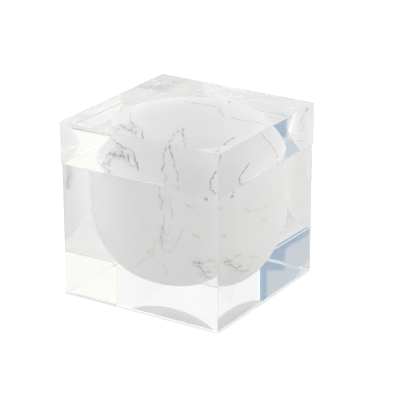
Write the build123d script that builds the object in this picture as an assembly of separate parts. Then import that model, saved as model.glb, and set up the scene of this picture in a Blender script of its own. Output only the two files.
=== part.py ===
"""Clear acrylic cube box with a lift-off lid and a round marbled lining.

Two solid acrylic blocks are machined with one round hollow that runs through
both.  A thin white lining is bonded into each half of it: a bowl in the base
and a dome in the lid.  The lid rests on the bowl's rim and lifts straight off.

Origin: centre of the underside.  +Z up, faces square to X and Y, millimetres.
"""

import os
from math import cos, pi, radians, sin, tan

from build123d import *

# Blocks
base_side = 203.2            # base block, square in plan
base_height = 155.1
lid_thickness = 49.5
lid_overhang = 1.0           # lid block stands this far outside the base all round
arris = 0.5                  # narrow polished bevel along the blocks' edges
foot_bevel = 2.0             # height of the steeper bevel round the base's underside
foot_lean = 30               # lean of that bevel, in degrees from upright

# Round hollow, measured by the acrylic that is left around it
side_wall = 7.4              # beside the widest ring
floor_thickness = 18.8       # under the bowl
roof_thickness = 4.1         # over the dome
widest_drop = 45.3           # widest ring, below the top of the base block
squareness = 2.35            # 2 is a plain ellipse, and more is fuller in the shoulders
profile_spans = 8            # spline spans in each quarter of the profile

# Linings
lining_wall = 2.5
rim_stand_off = 0.3          # bowl rim above the base block, so the blocks never touch

# Locating lip under the dome's rim
lip_depth = 3.5              # below the bowl's rim
lip_wall = 2.0
lip_clearance = 0.5          # radial, inside the bowl's mouth
lip_shoulder = 2.5           # height of the ledge that joins the lip to the dome

# Heights and radii that follow
seat_height = base_height + rim_stand_off
overall_height = seat_height + lid_thickness
lid_side = base_side + 2 * lid_overhang
hollow_radius = base_side / 2 - side_wall
hollow_top = overall_height - roof_thickness
widest_height = base_height - widest_drop


def quarter(radius, rise, inset):
    """Points of a superellipse quarter, from the widest ring to the pole."""
    points = []
    for step in range(profile_spans + 1):
        angle = step / profile_spans * pi / 2
        across = abs(cos(angle)) ** (2 / squareness) if step < profile_spans else 0
        up = sin(angle) ** (2 / squareness)
        points.append(((radius - inset) * across, widest_height + rise * up))
    return points


def hollow(inset):
    """The round hollow as a solid, drawn in by inset from the acrylic."""
    up = hollow_top - widest_height - inset
    down = floor_thickness - widest_height + inset
    dome = quarter(hollow_radius, up, inset)
    bowl = quarter(hollow_radius, down, inset)
    profile = Spline(*dome, tangents=[(0, 1), (-1, 0)])
    profile += Spline(*bowl[::-1], tangents=[(1, 0), (0, 1)])
    profile += Line(dome[-1], bowl[-1])
    return revolve(Plane.XZ * make_face(profile), Axis.Z)


def ring_radius(height, inset):
    """Radius of the hollow's wall at a height, drawn in by inset."""
    end = hollow_top - inset if height > widest_height else floor_thickness + inset
    share = abs(height - widest_height) / abs(end - widest_height)
    return (hollow_radius - inset) * (1 - share**squareness) ** (1 / squareness)


def block(side, bottom, top, bevel, lean):
    """A square block between two heights, with its own bevel round the underside."""
    body = Box(side, side, top - bottom, align=(Align.CENTER, Align.CENTER, Align.MIN))
    edges = body.edges()
    body = chamfer(edges - edges.group_by(Axis.Z)[0], arris)
    flat_side = side - 2 * bevel * tan(radians(lean))
    flare = extrude(Rectangle(flat_side, flat_side), top - bottom, taper=-lean)
    return Pos(0, 0, bottom) * (body & flare)


def slab(bottom, top):
    """Everything between two heights, wide enough to cut the hollow with."""
    return Pos(0, 0, bottom) * Cylinder(
        base_side, top - bottom, align=(Align.CENTER, Align.CENTER, Align.MIN)
    )


def tube(outer, inner, bottom, top):
    """A plain ring between two radii and two heights."""
    ends = (Align.CENTER, Align.CENTER, Align.MIN)
    ring = Cylinder(outer, top - bottom, align=ends) - Cylinder(inner, top - bottom, align=ends)
    return Pos(0, 0, bottom) * ring


cavity = hollow(0)
lining = cavity - hollow(lining_wall)

base_block = block(base_side, 0, base_height, foot_bevel, foot_lean) - cavity
bowl_liner = lining & slab(0, seat_height)
lid_block = block(lid_side, seat_height, overall_height, arris, 45) - cavity

lip_outer = ring_radius(seat_height, lining_wall) - lip_clearance
lip_inner = lip_outer - lip_wall
lip = tube(lip_outer, lip_inner, seat_height - lip_depth, seat_height)
shoulder = tube(base_side, lip_inner, seat_height, seat_height + lip_shoulder) & cavity
dome_liner = (lining & slab(seat_height, overall_height)) + shoulder + lip

os.makedirs("parts", exist_ok=True)
nodes = {
    "base_block": base_block,
    "bowl_liner": bowl_liner,
    "lid_block": lid_block,
    "dome_liner": dome_liner,
}
for name, shape in nodes.items():
    export_step(shape, f"parts/{name}.step")
    box = shape.bounding_box()
    print(f"{name}: {shape.volume / 1000:.1f} cm3, z {box.min.Z:.2f} to {box.max.Z:.2f}")
print(f"lip outside radius {lip_outer:.2f}, mouth radius {lip_outer + lip_clearance:.2f}")
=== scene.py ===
"""Looks for a clear acrylic cube box: two solid blocks, each with a white marbled lining bonded inside."""
from math import atan2, copysign, cos, hypot, pi, radians, sin, tan

import bmesh
import bpy
from mathutils import Matrix, Vector


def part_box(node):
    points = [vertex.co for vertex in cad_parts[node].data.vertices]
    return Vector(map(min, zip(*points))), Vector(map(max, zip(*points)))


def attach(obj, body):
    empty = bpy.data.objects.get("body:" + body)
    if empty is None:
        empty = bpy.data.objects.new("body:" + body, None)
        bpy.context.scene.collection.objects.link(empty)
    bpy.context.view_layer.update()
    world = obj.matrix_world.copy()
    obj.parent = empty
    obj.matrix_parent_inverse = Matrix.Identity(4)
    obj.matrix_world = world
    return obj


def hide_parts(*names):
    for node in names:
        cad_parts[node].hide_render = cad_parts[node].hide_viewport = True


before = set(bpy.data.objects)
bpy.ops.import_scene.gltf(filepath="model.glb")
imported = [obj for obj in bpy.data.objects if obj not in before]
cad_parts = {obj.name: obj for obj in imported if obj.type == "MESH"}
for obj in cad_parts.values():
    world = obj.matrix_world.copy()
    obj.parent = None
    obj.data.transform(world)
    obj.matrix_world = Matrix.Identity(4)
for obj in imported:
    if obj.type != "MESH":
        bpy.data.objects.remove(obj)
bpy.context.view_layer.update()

# ---- Camera ----------------------------------------------------------------------------------
# A long lens a little over two metres off, to the right of the front face and about twenty
# degrees above the table, so that the lid's top and two upright faces show.
LENS = 171.2
CAMERA_AT = (1.0859, -1.6825, 0.8780)
HEADING = 32.49                 # degrees turned left from straight along +Y
DOWNWARD = 21.24                # degrees below level
TILT = -0.2                     # degrees of roll
FAR_LIMIT = 100                 # metres that the camera sees

camera = bpy.data.objects.new("camera", bpy.data.cameras.new("camera"))
bpy.context.scene.collection.objects.link(camera)
camera.data.lens = LENS
camera.data.clip_end = FAR_LIMIT
aim = Matrix.Rotation(radians(HEADING), 4, "Z") @ Matrix.Rotation(radians(90 - DOWNWARD), 4, "X")
camera.matrix_world = Matrix.Translation(CAMERA_AT) @ aim @ Matrix.Rotation(radians(TILT), 4, "Z")
bpy.context.scene.camera = camera

# ---- Clear base block ------------------------------------------------------------------------
# A solid block of cast acrylic, sawn square and milled with a round hollow from the top. Every
# face is flame-clear polish, and every edge has a narrow polished bevel, taller round the foot.
MM = 0.001
ARRIS = 0.5 * MM
FOOT_BEVEL = 2.0 * MM           # height of the foot's bevel
FOOT_LEAN = 30                  # its lean in degrees from upright
SIDE_STEPS = 44                 # mesh steps along each side of a block
SQUARENESS = 2.35               # of the hollow's upright section: 2 is a plain ellipse
WIDEST_DROP = 45.3 * MM         # from the block's top down to the hollow's widest ring
HOLLOW_ROWS = 72                # mesh rows from a hollow's mouth to its pole
SUNK = 0.15 * MM                # the clear wall ends this far inside the lining, so no air shows
SHARPEST = 26                   # degrees: a steeper edge of the mesh stays sharp

ACRYLIC_INDEX = 1.635
ACRYLIC_TINT = (0.992, 0.992, 0.991, 1)
ACRYLIC_HAZE = (0.975, 0.977, 0.977, 1)
HAZE_SCALE = 26                 # clouds of haze per metre
HAZE_RISE = (0.5, 0.75)         # range of the noise over which the haze comes in

base_low, base_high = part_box("base_block")
bowl_low, bowl_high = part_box("bowl_liner")
dome_low, dome_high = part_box("dome_liner")
lid_low, lid_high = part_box("lid_block")
WIDEST_RADIUS = bowl_high.x
WIDEST_HEIGHT = base_high.z - WIDEST_DROP
HALF_HEIGHT = dome_high.z - WIDEST_HEIGHT


def square_ring(half, cut, height):
    """Points round a square whose corners are cut off at 45 degrees, starting at +X."""
    ring = []
    for side in range(4):
        turned = Matrix.Rotation(side * pi / 2, 3, "Z")
        for step in range(SIDE_STEPS + 1):
            along = (half - cut) * (2 * step / SIDE_STEPS - 1)
            ring.append(turned @ Vector((half, along, height)))
    return ring


def round_ring(radius, height):
    """Points on a circle, one beside each point of a square ring."""
    ring = []
    for point in square_ring(1, ARRIS, height):
        angle = atan2(point.y, point.x)
        ring.append(Vector((radius * cos(angle), radius * sin(angle), height)))
    return ring


def hollow_radius(height, inset):
    """Radius of the round hollow at a height, drawn in by inset."""
    share = min(1, abs(height - WIDEST_HEIGHT) / (HALF_HEIGHT - inset))
    return (WIDEST_RADIUS - inset) * (1 - share**SQUARENESS) ** (1 / SQUARENESS)


def hollow_profile(mouth, upward, inset):
    """Radius and height of each row from a mouth to just short of the pole, closer at the pole."""
    profile = []
    reach = (HALF_HEIGHT - inset) * upward
    start = (mouth - WIDEST_HEIGHT) / reach
    first = copysign(abs(start) ** SQUARENESS, start)
    for row in range(HOLLOW_ROWS):
        level = first + (1 - first) * sin(row / HOLLOW_ROWS * pi / 2)
        height = WIDEST_HEIGHT + reach * copysign(abs(level) ** (1 / SQUARENESS), level)
        profile.append((hollow_radius(height, inset), height))
    return profile


def skin(name, rings, first_tip, last_tip, body):
    """A closed mesh of quads between rings of points, with a fan to a tip at each end."""
    count = len(rings[0])
    mesh = bmesh.new()
    rows = [[mesh.verts.new(point) for point in ring] for ring in rings]
    for below, above in zip(rows, rows[1:]):
        for step in range(count):
            after = (step + 1) % count
            mesh.faces.new((below[step], below[after], above[after], above[step]))
    for row, tip in ((rows[0], mesh.verts.new(first_tip)), (rows[-1], mesh.verts.new(last_tip))):
        for step in range(count):
            mesh.faces.new((row[step], row[(step + 1) % count], tip))
    bmesh.ops.recalc_face_normals(mesh, faces=mesh.faces)
    for face in mesh.faces:
        face.smooth = True
    piece = bpy.data.objects.new(name, bpy.data.meshes.new(name))
    mesh.to_mesh(piece.data)
    mesh.free()
    piece.data.set_sharp_from_angle(angle=radians(SHARPEST))
    bpy.context.scene.collection.objects.link(piece)
    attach(piece, body)
    return piece


def block_rings(half, bottom, top, bevel, lean):
    """Rings up the outside of a block, from the flat of its underside to the flat of its top."""
    return [
        square_ring(half - bevel * tan(radians(lean)), ARRIS, bottom),
        square_ring(half, ARRIS, bottom + bevel),
        square_ring(half, ARRIS, top - ARRIS),
        square_ring(half - ARRIS, ARRIS, top),
    ]


class Wire:
    """One value in a shader. Arithmetic on it adds Math nodes, and node() adds any other."""

    def __init__(self, tree, socket=None):
        self.tree = tree
        self.socket = socket

    def node(self, kind, settings, sockets, output=None):
        """Adds a node, gives it its settings, then its sockets their values or links."""
        made = self.tree.nodes.new("ShaderNode" + kind)
        for name, value in settings.items():
            if name == "curve":
                made.mapping.extend = "HORIZONTAL"
                line = made.mapping.curves[0].points
                line[0].location = value[0]
                line[1].location = value[-1]
                for point in value[1:-1]:
                    line.new(*point)
                for point in line:
                    point.handle_type = "AUTO_CLAMPED"
                made.mapping.update()
            else:
                setattr(made, name, value)
        usable = [socket for socket in made.inputs if socket.enabled]
        for name, value in sockets.items():
            named = [socket for socket in usable if socket.name == name]
            target = named[0] if named else usable[name]
            if isinstance(value, Wire):
                self.tree.links.new(value.socket, target)
            else:
                target.default_value = value
        results = [socket for socket in made.outputs if socket.enabled]
        return Wire(self.tree, next(socket for socket in results if output in (None, socket.name)))

    def math(self, operation, *values):
        return self.node("Math", {"operation": operation}, dict(enumerate(values)))

    def __add__(self, other):
        return self.math("ADD", self, other)

    def __sub__(self, other):
        return self.math("SUBTRACT", self, other)

    def __mul__(self, other):
        return self.math("MULTIPLY", self, other)

    def __rsub__(self, other):
        return self.math("SUBTRACT", other, self)

    def __abs__(self):
        return self.math("ABSOLUTE", self)

    __radd__ = __add__
    __rmul__ = __mul__

    def axis(self, letter):
        """One part of a vector: X, Y or Z."""
        return self.node("SeparateXYZ", {}, {"Vector": self}, letter)

    def far_from(self, point):
        """Distance of this place from a point, in metres."""
        return self.node("VectorMath", {"operation": "DISTANCE"}, {0: self, 1: point})

    def toward(self, way):
        """How far this vector reaches along a direction."""
        return self.node("VectorMath", {"operation": "DOT_PRODUCT"}, {0: self, 1: way}, "Value")

    def between(self, start, end):
        """Rises smoothly from 0 to 1 as this value goes from start to end."""
        sockets = {"Value": self, "From Min": start, "From Max": end}
        return self.node("MapRange", {"interpolation_type": "SMOOTHSTEP"}, sockets)

    def blend(self, low, high):
        """A colour that goes from low to high as this value goes from 0 to 1."""
        return self.node("Mix", {"data_type": "RGBA"}, {0: self, 1: low, 2: high})


def principled(name, settings):
    """A new material with these values set on its own sockets; gives it and its shader."""
    material = bpy.data.materials.new(name)
    material.use_nodes = True
    shader = material.node_tree.nodes["Principled BSDF"]
    for socket, value in settings.items():
        shader.inputs[socket].default_value = value
    return material, shader


base_rings = block_rings(base_high.x, base_low.z, base_high.z, FOOT_BEVEL, FOOT_LEAN)
base_rings += [round_ring(radius, height) for radius, height in hollow_profile(base_high.z, -1, SUNK)]
clear_base = skin("clear_base", base_rings, (0, 0, base_low.z), (0, 0, bowl_low.z + SUNK), "base")
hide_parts("base_block")

acrylic, acrylic_shader = principled(
    "clear_cast_acrylic",
    {"Roughness": 0, "IOR": ACRYLIC_INDEX, "Transmission Weight": 1},
)
start = Wire(acrylic.node_tree)
place = start.node("TexCoord", {}, {}, "Object")
haze = start.node("TexNoise", {}, {"Vector": place, "Scale": HAZE_SCALE, "Detail": 3})
tint = haze.between(*HAZE_RISE).blend(ACRYLIC_TINT, ACRYLIC_HAZE)
acrylic.node_tree.links.new(tint.socket, acrylic_shader.inputs["Base Color"])
clear_base.data.materials.append(acrylic)

# Light has to pass many faces on its way through the thick blocks to the linings.
cycles = bpy.context.scene.cycles
cycles.max_bounces = 32
cycles.transmission_bounces = 32
cycles.glossy_bounces = 32
cycles.diffuse_bounces = 12
cycles.blur_glossy = 0

# ---- Marbled bowl ----------------------------------------------------------------------------
# A thin bowl of white resin with grey veins stirred through it, bonded into the base block so
# that no air is left behind it. Its inside is glossy, and the veins run right through the wall.
LINING_WALL = 2.5 * MM
OUTER_EASE = 0.2 * MM           # rounding of the rim's outer edge
INNER_EASE = 0.6 * MM           # and of its inner edge
EASE_STEPS = 4                  # mesh steps round an eased edge

RESIN_WHITE = (0.945, 0.945, 0.941, 1)
RESIN_CLOUD = (0.922, 0.924, 0.924, 1)
VEIN_GREY = (0.16, 0.155, 0.15, 1)
CLOUD_SCALE = 28                # clouds in the white per metre
CLOUD_RISE = (0.45, 0.75)       # range of the noise over which a cloud comes in
WOBBLE_SCALE = 80               # kinks in a vein per metre
WOBBLE_TURN = 6.4               # degrees round the lining that the kinks reach over, side to side
WOBBLE_LIFT = 4.8               # and degrees up it
LIFT_SPREAD = 1.6               # millimetres on the lining per degree of lift
BREAK_SCALE = 170               # changes of a vein's depth per metre
BREAK_RISE = (0.32, 0.62)       # range of the noise over which a faint stretch grows strong
FAINTEST = 0.35                 # share of a vein's depth that is always left
BREAK_DEPTH = 0.75              # share that comes and goes along it
CURL_SCALE = 150                # curls per metre in a stirred patch
CURL = 0.045                    # half the range of the curls' noise that shows as a line
HALO = 3.0                      # width of a vein's soft halo, in widths of the vein
HALO_DEPTH = 0.3                # its depth, as a share of the vein's
TAPER = 0.06                    # share of a vein's length over which each end fades

# Marks of the bowl, drawn in degrees: lift above or below the widest ring, and turn round from the
# front corner, positive to the right. Their widths and sizes are in millimetres, and a depth of 1
# is the full grey. Rising veins hold points of lift and turn, then a width and a depth.
RISING_BOWL = {
    "twin left": ([(9, -29.5), (13, -28.5), (17, -29.5), (21, -30.5), (26, -30)], 1.5, 0.25),
    "twin fork": ([(4, -21), (8, -21), (12, -22), (16, -22.5), (18, -21)], 1.2, 0.16),
    "below it": ([(-4, -28), (0, -27.5), (3, -26), (6, -27)], 1.3, 0.2),
    "twin foot": ([(-20, -27), (-15, -28.5), (-10, -29), (-5, -28.5), (-3, -30)], 1.3, 0.27),
    "right bow": ([(-18, -21), (-14, -18), (-10, -15.5), (-6, -14), (-2, -12.5)], 1.1, 0.18),
    "left foot": ([(-26, -42), (-24, -40), (-22, -36.5), (-18, -35), (-12, -34.5)], 1.1, 0.16),
    "drifting left": ([(-40, -54), (-36, -50), (-31, -45), (-27, -42)], 1.8, 0.12),
    "drifting down": ([(-45, -24), (-36, -26), (-30, -27)], 1.6, 0.12),
    "back stem": ([(-22, 162), (-14, 159), (-6, 163), (4, 161), (12, 165)], 1.4, 0.3),
    "back fork": ([(-4, 171), (4, 174), (12, 172), (20, 176)], 1.1, 0.22),
    "back side": ([(-34, -168), (-24, -164), (-14, -166), (-6, -162)], 1.2, 0.2),
    "left smudge": ([(1, -110.5), (7, -111), (13, -112.5), (19, -112.5)], 5.0, 0.36),
    "left smudge edge": ([(4, -115), (10, -116.5), (19, -117)], 3.5, 0.14),
}
# Running veins hold points of turn and lift instead.
RUNNING_BOWL = {
    "loop": ([(-29, -19), (-26, -20.5), (-22, -19.5), (-19, -17)], 1.1, 0.13),
    "step": ([(-11, 17), (-9.5, 14.5), (-7, 13.5), (-3, 13.5)], 1.1, 0.24),
    "dash": ([(-5, -4.5), (-2, -6.5), (0, -7.5)], 1.1, 0.2),
    "corner top": ([(-5, -26), (0, -26.5), (4, -27), (9, -25.5), (14, -24.5), (18, -26)], 1.5, 0.24),
    "corner mid": ([(1, -28.5), (4, -30), (8, -34), (12, -35.5), (20, -36.5)], 1.7, 0.28),
    "corner low": ([(12, -37), (16, -41), (20, -42.5), (25, -44), (31, -46.5)], 1.6, 0.36),
    "right wisp": ([(27, -29), (31, -32.5), (37, -33.5), (44, -37)], 1.3, 0.18),
    "right drift": ([(20, 9), (25, 5), (34, 3), (41, 1.5), (48, 0.5), (53, -3)], 1.2, 0.14),
    "right arc": ([(41, -5), (45, -8.5), (50, -6)], 1.3, 0.14),
    "back sweep": ([(-178, 6), (-170, 2), (-162, 3), (-153, -2)], 1.3, 0.26),
    "back foot": ([(151, -34), (160, -39), (169, -37), (178, -42)], 1.5, 0.28),
}
# Spots and stirred patches hold a turn, a lift, a size and a depth.
SPOTS_BOWL = {
    "corner": (7, 19, 3.0, 1.1),
    "corner tail": (8.5, 21.5, 2.4, 0.8),
}
STIRRED_BOWL = {
    "corner": (14, -35, 20, 0.36),
    "corner right": (27, -43, 16, 0.3),
    "corner left": (1, -28, 12, 0.35),
    "twin top": (-26, 14, 14, 0.2),
    "twin foot": (-26, -9, 20, 0.16),
    "left foot": (-38, -23, 12, 0.18),
    "back foot": (164, -34, 18, 0.3),
    "back side": (-168, -4, 14, 0.22),
}


def on_lining(turn, lift):
    """The point of the lining's outside at a turn and a lift."""
    across = cos(radians(lift)) / WIDEST_RADIUS
    up = abs(sin(radians(lift))) / HALF_HEIGHT
    reach = (across**SQUARENESS + up**SQUARENESS) ** (-1 / SQUARENESS)
    level = reach * cos(radians(lift))
    bearing = radians(turn - 45)
    return level * cos(bearing), level * sin(bearing), WIDEST_HEIGHT + reach * sin(radians(lift))


def vein(along, across, spread, points, width, depth):
    """Depth of one vein whose place across follows a curve through a few points along it."""
    first, last = points[0][0], points[-1][0]
    low = min(point[1] for point in points)
    span = max(point[1] for point in points) - low or 1
    share = (along - first) * (1 / (last - first))
    course = [((point[0] - first) / (last - first), (point[1] - low) / span) for point in points]
    middle = share.node("FloatCurve", {"curve": course}, {"Value": share})
    ends = [(0, 0), (TAPER, 1), (1 - TAPER, 1), (1, 0)]
    kept = share.node("FloatCurve", {"curve": ends}, {"Value": share})
    off = abs(across - (middle * span + low)) * spread
    return (off.between(width, 0) + off.between(width * HALO, 0) * HALO_DEPTH) * kept * depth


def marbled(name, rising, running, spots, stirred, finish):
    """White resin with clouds and veins that follow the lining, whichever way it is turned."""
    material, shader = principled(name, finish)
    start = Wire(material.node_tree)
    place = start.node("TexCoord", {}, {}, "Object")
    x = place.axis("X")
    y = place.axis("Y")
    sockets = {"Vector": place, "Scale": WOBBLE_SCALE, "Detail": 4, "Roughness": 0.65}
    kinks = start.node("TexNoise", {}, sockets, "Color")
    sideways = kinks.axis("X") - 0.5
    upward = kinks.axis("Y") - 0.5
    flat = start.node("VectorMath", {"operation": "MULTIPLY"}, {0: place, 1: (1, 1, 0)})
    radius = start.node("VectorMath", {"operation": "LENGTH"}, {0: flat})
    height = place.axis("Z") - WIDEST_HEIGHT
    turn = start.math("ARCTAN2", x + y, x - y) * (180 / pi) + sideways * WOBBLE_TURN
    lift = start.math("ARCTAN2", height, radius) * (180 / pi) + upward * WOBBLE_LIFT
    turn_spread = radius * (radians(1) / MM)

    marks = 0
    for points, width, depth in rising.values():
        marks = marks + vein(lift, turn, turn_spread, points, width, depth)
    for points, width, depth in running.values():
        marks = marks + vein(turn, lift, LIFT_SPREAD, points, width, depth)
    for spot_turn, spot_lift, size, depth in spots.values():
        away = place.far_from(on_lining(spot_turn, spot_lift)) * (1 / MM)
        marks = marks + (away + sideways * size * 2).between(size, 0) * depth
    sockets = {"Vector": place, "Scale": CURL_SCALE, "Detail": 2, "Distortion": 0.6}
    curls = abs(start.node("TexNoise", {}, sockets) - 0.5).between(CURL, 0)
    for patch_turn, patch_lift, size, depth in stirred.values():
        away = place.far_from(on_lining(patch_turn, patch_lift)) * (1 / MM)
        marks = marks + (away + upward * size).between(size, size / 4) * curls * depth
    breaks = start.node("TexNoise", {}, {"Vector": place, "Scale": BREAK_SCALE, "Detail": 3})
    marks = marks * (FAINTEST + breaks.between(*BREAK_RISE) * BREAK_DEPTH)
    sockets = {"Vector": place, "Scale": CLOUD_SCALE, "Detail": 5, "Roughness": 0.6}
    white = start.node("TexNoise", {}, sockets).between(*CLOUD_RISE).blend(RESIN_WHITE, RESIN_CLOUD)
    colour = marks.blend(white, VEIN_GREY)
    material.node_tree.links.new(colour.socket, shader.inputs["Base Color"])
    return material


BONDED = {"Roughness": 0.4, "Specular IOR Level": 0.1}
GLOSSY = {"Roughness": 0.14, "Specular IOR Level": 0.5}


def arc(radius, height, size, start, end):
    """Radius and height of points round an eased edge, between two angles in degrees."""
    steps = range(1, EASE_STEPS)
    angles = [radians(start + (end - start) * step / EASE_STEPS) for step in steps]
    return [(radius + size * cos(angle), height + size * sin(angle)) for angle in angles]


def lining(name, profile, tips, body, bonded, glossy):
    """A turned shell from the tip of its outside to the tip of its inside, polished on the inside."""
    piece = skin(name, [round_ring(radius, height) for radius, height in profile], *tips, body)
    piece.data.materials.append(bonded)
    piece.data.materials.append(glossy)
    for face in piece.data.polygons:
        middle = hollow_radius(face.center.z, LINING_WALL / 2)
        face.material_index = int(hypot(face.center.x, face.center.y) < middle)
    return piece


rim = bowl_high.z
bowl_outside = hollow_profile(rim - OUTER_EASE, -1, 0)
bowl_inside = hollow_profile(rim - INNER_EASE, -1, LINING_WALL)
bowl_profile = bowl_outside[::-1]
bowl_profile += arc(bowl_outside[0][0] - OUTER_EASE, rim - OUTER_EASE, OUTER_EASE, 0, 90)
bowl_profile += [(bowl_outside[0][0] - OUTER_EASE, rim), (bowl_inside[0][0] + INNER_EASE, rim)]
bowl_profile += arc(bowl_inside[0][0] + INNER_EASE, rim - INNER_EASE, INNER_EASE, 90, 180)
bowl_profile += bowl_inside
bowl_tips = ((0, 0, bowl_low.z), (0, 0, bowl_low.z + LINING_WALL))
bowl_marble = marbled("white_marbled_bowl", RISING_BOWL, RUNNING_BOWL, SPOTS_BOWL, STIRRED_BOWL, BONDED)
bowl_polish = marbled("polished_marbled_bowl", RISING_BOWL, RUNNING_BOWL, SPOTS_BOWL, STIRRED_BOWL, GLOSSY)
marbled_bowl = lining("marbled_bowl", bowl_profile, bowl_tips, "base", bowl_marble, bowl_polish)
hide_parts("bowl_liner")

# ---- Clear lid block -------------------------------------------------------------------------
# The second block of cast acrylic, a shallow one that covers the base with a hair's overhang.
# Its round hollow is milled from below, and it rests on the bowl's rim by its own weight.
ARRIS_LEAN = 45                 # the lid's lower edges have the plain arris, in degrees from upright

lid_rings = block_rings(lid_high.x, lid_low.z, lid_high.z, ARRIS, ARRIS_LEAN)[::-1]
lid_rings += [round_ring(radius, height) for radius, height in hollow_profile(lid_low.z, 1, SUNK)]
clear_lid = skin("clear_lid", lid_rings, (0, 0, lid_high.z), (0, 0, dome_high.z - SUNK), "lid")
clear_lid.data.materials.append(acrylic)
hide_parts("lid_block")

# ---- Marbled dome ----------------------------------------------------------------------------
# The bowl's other half, of the same stirred resin, bonded into the lid. Inside its rim a low lip
# drops into the bowl's mouth, so that the lid can't slide off.
LIP_WALL = 2.0 * MM
LIP_CLEARANCE = 0.5 * MM
LEDGE = 2.5 * MM                # height of the solid ledge that carries the lip
LIP_EASE = 0.5 * MM

RISING_DOME = {
    "twin left": (
        [(36, -28.5), (38, -27.5), (42, -26.5), (44, -27), (48, -27), (52, -24.5), (57, -24)], 1.0, 0.5
    ),
    "twin left foot": ([(28, -26.5), (31, -25.5), (34, -27), (36, -28.5)], 0.9, 0.3),
    "twin right": ([(28, -16), (31, -14.8), (35, -13.9), (38, -15.5), (41, -16.8), (44, -16.2)], 0.9, 0.4),
    "twin right top": ([(44, -16.2), (48, -17), (51, -18.5), (55, -19), (57, -18.8), (61, -21)], 1.0, 0.55),
    "slanting stroke": ([(33, -48.5), (36, -51.5), (40, -55), (44, -58.5), (46, -60.5)], 1.4, 0.62),
    "beside the stroke": ([(37, -60), (38, -60.5), (40, -63.5), (42.5, -66)], 1.2, 0.55),
    "crack": ([(28, 15), (29.5, 14.5), (32, 17.5), (35, 22.5), (38, 28.5)], 1.1, 0.75),
    "right hook": ([(28, 71), (32, 70), (37, 67.5), (43, 66), (49, 63.5), (54, 62.5), (60, 65)], 1.0, 0.5),
    "back right": ([(37, 130), (41, 128), (46, 124.5), (48, 123)], 1.6, 0.5),
    "back foot": ([(28, 112), (31, 116), (33, 119), (35, 120)], 1.4, 0.35),
    "cluster foot": ([(30, -82), (32, -82), (35, -83.5)], 3.0, 0.3),
}
RUNNING_DOME = {
    "arch": ([(-90, 47), (-84, 47.8), (-78, 47), (-74, 46.3), (-66, 46.6), (-60, 45.2)], 1.5, 0.42),
    "arch tail": ([(-118, 45), (-110, 48), (-98, 47.8), (-88, 47)], 1.3, 0.25),
    "eye tail": ([(-86, 45.5), (-78, 44), (-72, 42.5)], 0.9, 0.4),
    "cluster mark": ([(-59.5, 36), (-56, 35), (-53, 35.5)], 1.0, 0.35),
    "cluster band": ([(-91, 38), (-80, 39), (-69, 39.5)], 2.8, 0.24),
    "cluster smear": ([(-93, 29), (-86, 29.5), (-79, 30)], 1.6, 0.28),
    "cluster shade": ([(-92, 35), (-76, 39), (-60, 40)], 9.0, 0.16),
    "top sweep": ([(62, 64), (68, 65.7), (86, 67.5), (108, 65.7), (122, 66.4)], 1.0, 0.36),
    "far sweep": ([(118, 66), (140, 67.8), (152, 67), (166, 65), (178, 61.3)], 1.3, 0.4),
    "far right": ([(158, 36.5), (164, 35.5), (170, 33.5)], 1.4, 0.4),
}
SPOTS_DOME = {
    "twin head": (-27, 59.8, 2.2, 0.75),
    "hook head": (67, 65.6, 1.6, 0.5),
    "hook foot": (70.5, 31, 1.6, 0.4),
    "cluster eye": (-71.5, 42.3, 2.1, 0.85),
    "back right": (125, 46.5, 2.6, 0.5),
}
STIRRED_DOME = {
    "cluster": (-76, 44, 14, 0.4),
    "beside the stroke": (-64, 41, 10, 0.4),
    "cluster foot": (-86, 33, 12, 0.3),
    "back right": (124, 34, 12, 0.35),
    "far right": (160, 38, 14, 0.3),
}

dome_outside = hollow_profile(lid_low.z, 1, 0)
dome_inside = hollow_profile(lid_low.z + LEDGE, 1, LINING_WALL)
lip_outer = hollow_radius(rim, LINING_WALL) - LIP_CLEARANCE
lip_inner = lip_outer - LIP_WALL
lip_low = dome_low.z
dome_profile = dome_outside[::-1]
dome_profile += [(lip_outer, lid_low.z), (lip_outer, lip_low + LIP_EASE)]
dome_profile += arc(lip_outer - LIP_EASE, lip_low + LIP_EASE, LIP_EASE, 0, -90)
dome_profile += [(lip_outer - LIP_EASE, lip_low), (lip_inner + LIP_EASE, lip_low)]
dome_profile += arc(lip_inner + LIP_EASE, lip_low + LIP_EASE, LIP_EASE, -90, -180)
dome_profile += [(lip_inner, lip_low + LIP_EASE), (lip_inner, lid_low.z + LEDGE)]
dome_profile += dome_inside
dome_tips = ((0, 0, dome_high.z), (0, 0, dome_high.z - LINING_WALL))
dome_marble = marbled("white_marbled_dome", RISING_DOME, RUNNING_DOME, SPOTS_DOME, STIRRED_DOME, BONDED)
dome_polish = marbled("polished_marbled_dome", RISING_DOME, RUNNING_DOME, SPOTS_DOME, STIRRED_DOME, GLOSSY)
marbled_dome = lining("marbled_dome", dome_profile, dome_tips, "lid", dome_marble, dome_polish)
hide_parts("dome_liner")

# ---- Table -----------------------------------------------------------------------------------
# A plain pale table top, with painted shade that darkens it to the left. A film of air stays
# between it and the polished underside. It is brightened to white for the camera alone, fading out
# in a band round the box's foot, a painted shadow over the table's own shade.
TABLE_REACH = 12                # metres from its middle to each side
AIR_FILM = 0.2 * MM
TABLE_PALE = (0.955, 0.955, 0.945, 1)
# Painted shade: the table's colour at its left, darker where less light falls there.
TABLE_PAINTED_SHADE = (0.74, 0.755, 0.755, 1)
TABLE_GLOW = 0.5                # brightness added for the camera
LEFT_WAY = (-0.87, -0.49, 0)    # to the left, along the table
PAINTED_SHADE_FROM_TO = (0.05, 0.2)       # metres along that way over which the painted shade on the table comes in
PAINTED_SHADOW_FROM_TO = (-3 * MM, 6.5 * MM)  # from under the box's foot out to where its painted shadow has gone

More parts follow.
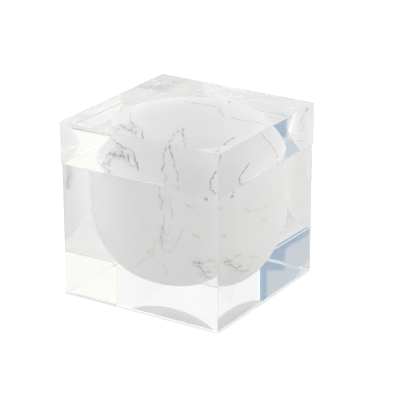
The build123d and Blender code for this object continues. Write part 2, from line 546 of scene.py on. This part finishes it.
table = bpy.data.objects.new("table", bpy.data.meshes.new("table"))
bpy.context.scene.collection.objects.link(table)
corners = [(-1, -1), (1, -1), (1, 1), (-1, 1)]
corners = [(x * TABLE_REACH, y * TABLE_REACH, base_low.z - AIR_FILM) for x, y in corners]
table.data.from_pydata(corners, [], [(0, 1, 2, 3)])
paint, paint_shader = principled("pale_table", {"Roughness": 0.9, "Specular IOR Level": 0.2})
start = Wire(paint.node_tree)
place = start.node("TexCoord", {}, {}, "Object")
# The painted shade blends in towards the left.
shaded_table_colour = place.toward(LEFT_WAY).between(*PAINTED_SHADE_FROM_TO).blend(TABLE_PALE, TABLE_PAINTED_SHADE)
paint.node_tree.links.new(shaded_table_colour.socket, paint_shader.inputs["Base Color"])
from_middle = start.math("MAXIMUM", abs(place.axis("X")), abs(place.axis("Y")))
# Painted shadow: the camera's brightening fades out in a band round the box's foot, over the table's own
# shade.
clear_of_painted_shadow = (from_middle - base_high.x).between(*PAINTED_SHADOW_FROM_TO)
seen = start.node("LightPath", {}, {}, "Is Camera Ray")
glow = start.node("Emission", {}, {"Strength": seen * clear_of_painted_shadow * TABLE_GLOW})
lit = start.node("AddShader", {}, {0: Wire(paint.node_tree, paint_shader.outputs[0]), 1: glow})
paint.node_tree.links.new(lit.socket, paint.node_tree.nodes["Material Output"].inputs["Surface"])
table.data.materials.append(paint)

# ---- Studio light ----------------------------------------------------------------------------
# Two large soft panels stand left and right, and weaker light comes from overhead and from the
# camera's side. A pale backdrop stands behind, creamy at its right, with brighter strips at its foot.
# At the front left small grey, lilac and blue screens stand above two long ones, pale and blue.
LEVEL = 2.0                     # strength of the whole studio
SIDES = (0.82, 0.82, 0.82, 1)
LOW_SIDES = (1.1, 1.1, 1.1, 1)
OVERHEAD = (0.39, 0.39, 0.39, 1)
HIGH_BACK = (0.42, 0.42, 0.42, 1)
CAMERA_SIDE = (0.2, 0.2, 0.2, 1)
LEFT_PANEL = (1.35, 1.35, 1.35, 1)
RIGHT_PANEL = (1.08, 1.08, 1.08, 1)
BACKDROP = (0.485, 0.485, 0.485, 1)
CREAM = (0.50, 0.505, 0.478, 1)
FOOT_GLOW = (0.6, 0.6, 0.6, 1)
FOOT_CREAM = (0.43, 0.43, 0.415, 1)
PALE_SCREEN = (0.39, 0.39, 0.38, 1)
GREY_SCREEN = (0.262, 0.298, 0.326, 1)
LILAC_SCREEN = (0.276, 0.29, 0.335, 1)
BLUE_SCREEN = (0.135, 0.203, 0.273, 1)
BRIGHT_EDGE = (0.15, 0.25, 0.37, 1)
SKY_SCREEN = (0.262, 0.306, 0.344, 1)
WHITE = (1, 1, 1, 1)            # what the camera sees past the box and the table

# Elevations above the table, in degrees, from where each begins to where it is whole.
OVERHEAD_RISE = (20, 70)
LOW_SIDES_RISE = (18, 4)
HIGH_BACK_RISE = (30, 45)
PANEL_RISE = (38, 12)
BACKDROP_RISE = (36, 28)
FOOT_RISE = (12, 10)

# Directions of the lights, and the nearness at which each begins and is whole.
HIGH_BACK_WAY = (-0.54, 0.84, 0)
HIGH_BACK_SPREAD = (0.0, 0.7)
CAMERA_SIDE_SPREAD = (-0.1, 0.9)
LEFT_PANEL_WAY = (-1, -0.05, 0.18)
RIGHT_PANEL_WAY = (0.8, 0.6, 0.18)
PANEL_SPREAD = (0.6, 0.98)

# Bearings in degrees round from +X towards +Y, over which the low end and then the high end fades.
BACKDROP_ENDS = ((40, 50), (150, 140))
CREAM_ENDS = ((40, 50), (75, 60))
FOOT_GLOW_ENDS = ((95, 100), (150, 145))
FOOT_CREAM_ENDS = ((30, 35), (80, 75))

# Screens at the front left: their lowest and highest bearing, their lowest and highest elevation,
# and their colour. Each stands before the ones above it in the list.
SOFT = 0.06                     # degrees that a screen's edge fades over, each way
FAR_SCREENS = [
    ((-121, -118.92), (21, 26), GREY_SCREEN),
    ((-119.66, -119.25), (22.4, 23.1), LILAC_SCREEN),
    ((-121, -120.3), (21, 26), BLUE_SCREEN),
    ((-121, -119.72), (21, 23.35), BLUE_SCREEN),
]
NEAR_SCREENS = [
    ((-121, -118.9), (18.4, 20.4), PALE_SCREEN),
    ((-120.3, -119.72), (18.6, 19.38), BLUE_SCREEN),
    ((-119.76, -119.3), (19.42, 20.1), SKY_SCREEN),
]
LONG_SCREENS = [
    ((-132, -118), (7.5, 11), FOOT_GLOW),
    ((-132, -118), (-4, 7), BLUE_SCREEN),
]

# A blue screen with a slanting top stands between the far screens and the near ones.
SLANT = 0.6                     # degrees that its top falls per degree of bearing
SLANT_FADE = (-49.08, -49.18)   # its top edge, as elevation plus SLANT times bearing
SLANT_ENDS = ((-120, -119.6), (-118.9, -119.0))
SLANT_RISE = (21, 21.1)

# A narrow strip of brighter blue rises before the far screens.
EDGE_ENDS = ((-122, -121), (-120.455, -120.48))
EDGE_RISE = (23.2, 23.25)

world = bpy.data.worlds.new("studio")
bpy.context.scene.world = world
world.use_nodes = True
start = Wire(world.node_tree)
outward = start.node("TexCoord", {}, {}, "Generated")
bearing = start.math("ARCTAN2", outward.axis("Y"), outward.axis("X")) * (180 / pi)
elevation = start.math("ARCSINE", outward.axis("Z")) * (180 / pi)


def nearness(way):
    """1 straight towards a direction, 0 square to it."""
    return outward.toward(Vector(way).normalized())


def within(ends):
    """1 between two ends and 0 beyond both, where each end is a pair of bearings."""
    low_end, high_end = ends
    return bearing.between(*low_end) * bearing.between(*high_end)


def screen(beyond, bearings, elevations, colour):
    """Stands a soft-edged rectangle between two bearings and two elevations before the rest."""
    first, last = bearings
    low, high = elevations
    mask = bearing.between(first - SOFT, first + SOFT) * bearing.between(last + SOFT, last - SOFT)
    mask = mask * elevation.between(low - SOFT, low + SOFT) * elevation.between(high + SOFT, high - SOFT)
    return mask.blend(beyond, colour)


sky = elevation.between(*OVERHEAD_RISE).blend(SIDES, OVERHEAD)
sky = elevation.between(*LOW_SIDES_RISE).blend(sky, LOW_SIDES)
high_back = nearness(HIGH_BACK_WAY).between(*HIGH_BACK_SPREAD) * elevation.between(*HIGH_BACK_RISE)
sky = high_back.blend(sky, HIGH_BACK)
sky = nearness(CAMERA_AT).between(*CAMERA_SIDE_SPREAD).blend(sky, CAMERA_SIDE)
for panel_way, panel in ((LEFT_PANEL_WAY, LEFT_PANEL), (RIGHT_PANEL_WAY, RIGHT_PANEL)):
    mask = nearness(panel_way).between(*PANEL_SPREAD) * elevation.between(*PANEL_RISE)
    sky = mask.blend(sky, panel)
for ends, cloth in ((BACKDROP_ENDS, BACKDROP), (CREAM_ENDS, CREAM)):
    sky = (within(ends) * elevation.between(*BACKDROP_RISE)).blend(sky, cloth)
for card in FAR_SCREENS:
    sky = screen(sky, *card)
climb = (elevation + bearing * SLANT).between(*SLANT_FADE)
sky = (climb * within(SLANT_ENDS) * elevation.between(*SLANT_RISE)).blend(sky, BLUE_SCREEN)
for card in NEAR_SCREENS:
    sky = screen(sky, *card)
for ends, strip in ((FOOT_GLOW_ENDS, FOOT_GLOW), (FOOT_CREAM_ENDS, FOOT_CREAM)):
    sky = (within(ends) * elevation.between(*FOOT_RISE)).blend(sky, strip)
sky = (within(EDGE_ENDS) * elevation.between(*EDGE_RISE)).blend(sky, BRIGHT_EDGE)
for card in LONG_SCREENS:
    sky = screen(sky, *card)
camera_ray = start.node("LightPath", {}, {}, "Is Camera Ray")
sky = camera_ray.blend(sky, WHITE)
background = world.node_tree.nodes["Background"]
world.node_tree.links.new(sky.socket, background.inputs["Color"])
background.inputs["Strength"].default_value = LEVEL

bpy.context.scene.view_settings.view_transform = "Standard"
